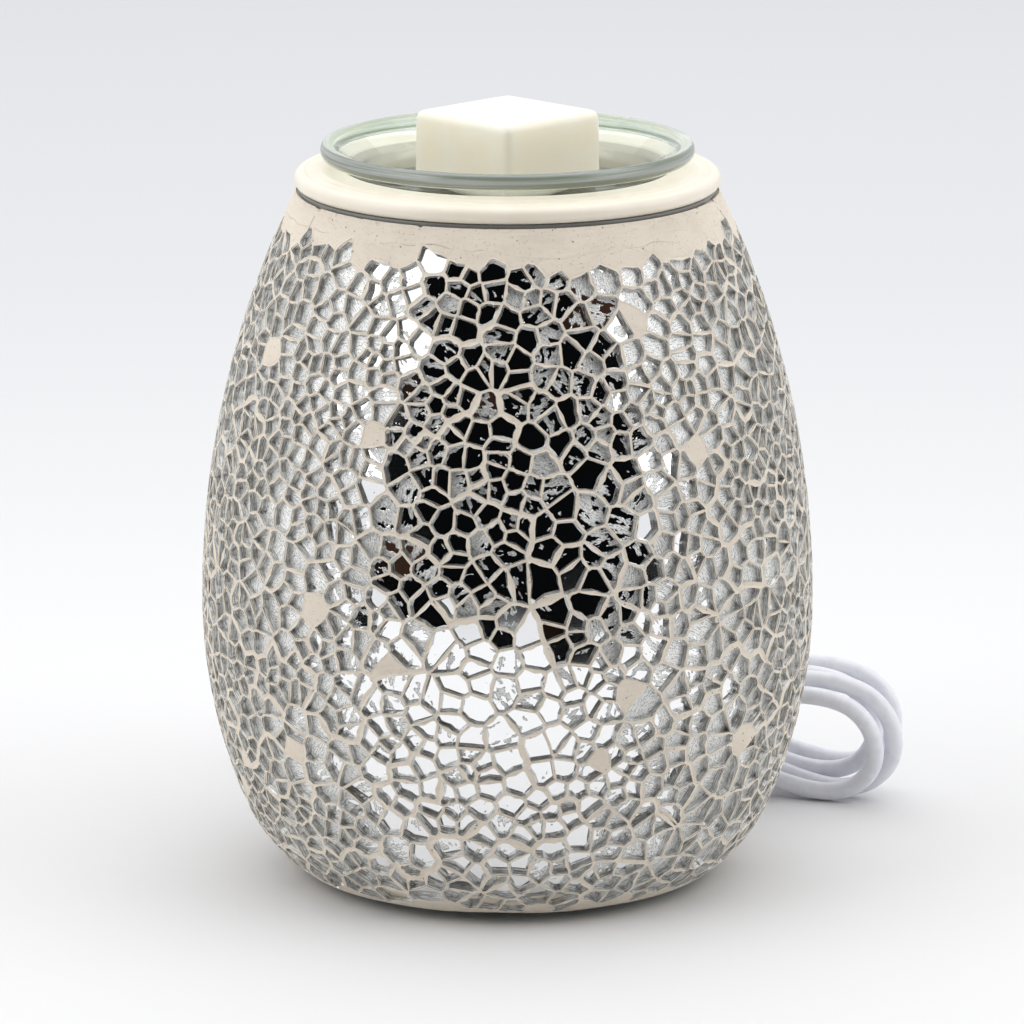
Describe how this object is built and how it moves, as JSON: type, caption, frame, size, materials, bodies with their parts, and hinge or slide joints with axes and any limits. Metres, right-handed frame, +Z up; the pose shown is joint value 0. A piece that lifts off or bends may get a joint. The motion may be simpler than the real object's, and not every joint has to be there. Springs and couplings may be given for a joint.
{
  "type": "wax melt warmer",
  "caption": "Egg-shaped mirror mosaic glass body on a flat foot, with a cream collar, a shallow glass dish holding a cube of wax, and a coiled white mains cord behind.",
  "frame": {"origin": "bottom centre of the round body, on the table that the feet stand on", "axes": "+Z up along the body's axis of revolution; -Y towards the viewer; the cord leaves at the back left"},
  "size_m": [0.1669, 0.263, 0.1788],
  "materials": {
    "vessel_glass": "clear, faintly green",
    "grout": "matt, hand wiped",
    "mirror": "silvered glass chips",
    "collar_paint": "satin cream",
    "bead_silicone": "matt dark",
    "dish_glass": "clear, green edge",
    "wax": "soft satin wax",
    "cap_plastic": "fine texture",
    "foot_rubber": "matt",
    "gasket_foam": "matt foam",
    "plated_steel": "zinc plated",
    "holder_ceramic": "unglazed steatite",
    "contact_brass": "plain",
    "lamp_ceramic": "gloss",
    "lamp_mirror": "coated reflector",
    "lamp_glass": "clear",
    "cord_plastic": "satin white",
    "wire_plastic": "sleeved",
    "tie_plastic": "matt white"
  },
  "bodies": {
    "housing": {"glass_vessel": "vessel_glass", "glass_floor": "vessel_glass", "grout_coat": "grout", "mirror_mosaic": "mirror", "collar_bead": "bead_silicone", "collar": "collar_paint", "base_cap": "cap_plastic", "base_feet": "foot_rubber", "base_gasket": "gasket_foam", "stem": "plated_steel", "soft_washer": "foot_rubber", "steel_washer": "plated_steel", "stem_nuts": "plated_steel", "holder_bracket": "plated_steel", "lamp_holder": "holder_ceramic", "holder_contacts": "contact_brass", "holder_screws": "plated_steel", "cord_bushing": "cord_plastic", "cord_inner": "cord_plastic", "joint_caps": "wire_plastic", "core_wires": "wire_plastic", "holder_wires": "wire_plastic", "cord_hank": "cord_plastic", "hank_tie": "tie_plastic", "cord_lead": "cord_plastic", "switch_base": "cord_plastic", "switch_cover": "cord_plastic", "switch_screws": "plated_steel", "switch_necks": "cord_plastic", "cord_tail": "cord_plastic", "plug_body": "cord_plastic", "plug_pins": "contact_brass", "cord_end": "cord_plastic"},
    "dish": {"glass_dish": "dish_glass"},
    "wax": {"wax_cube": "wax"},
    "lamp": {"lamp_base": "lamp_ceramic", "lamp_pins": "plated_steel", "lamp_reflector": "lamp_mirror", "lamp_lens": "lamp_glass", "lamp_capsule": "lamp_glass"},
    "rocker": {"switch_rocker": "cord_plastic"}
  },
  "joints": [
    {"name": "dish_lift", "type": "slide", "parent": "housing", "child": "dish", "axis": [0, 0, 1], "range_m": [0, 0.04]},
    {"name": "wax_lift", "type": "slide", "parent": "dish", "child": "wax", "axis": [0, 0, 1], "range_m": [0, 0.03]},
    {"name": "lamp_twist", "type": "hinge", "parent": "housing", "child": "lamp", "pos_m": [0, 0, 0.0795], "axis": [0, 0, 1], "range_deg": [-30, 0]},
    {"name": "rocker_tip", "type": "hinge", "parent": "housing", "child": "rocker", "pos_m": [0.002, 0.126, 0.0127], "axis": [0, 1, 0], "range_deg": [0, 16]}
  ]
}
